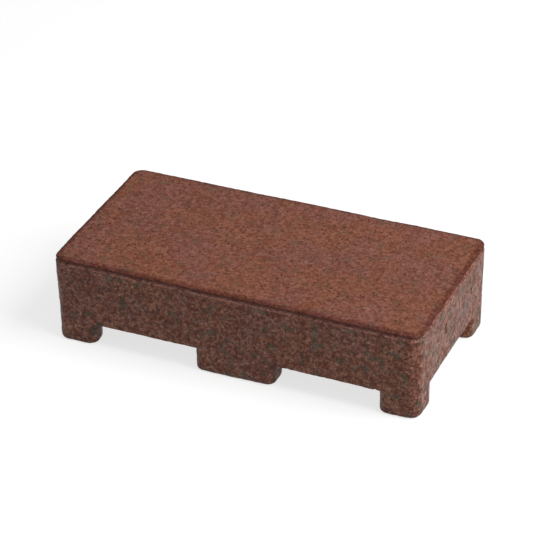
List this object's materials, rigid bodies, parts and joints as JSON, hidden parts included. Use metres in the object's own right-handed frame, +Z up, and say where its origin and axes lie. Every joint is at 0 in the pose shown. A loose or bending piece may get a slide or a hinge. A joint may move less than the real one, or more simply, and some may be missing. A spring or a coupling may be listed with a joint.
{
  "type": "composite paver",
  "caption": "Rectangular moulded paving block with a rounded wearing face, standing on short feet that leave open drainage channels below.",
  "frame": {"origin": "under the middle of the block, on the level that the feet stand on", "axes": "+X along the long side, +Y across the block, +Z up out of the wearing face"},
  "size_m": [0.2, 0.1, 0.05],
  "materials": {
    "composite": "matte"
  },
  "bodies": {
    "root": {"paver": "composite"}
  },
  "joints": []
}
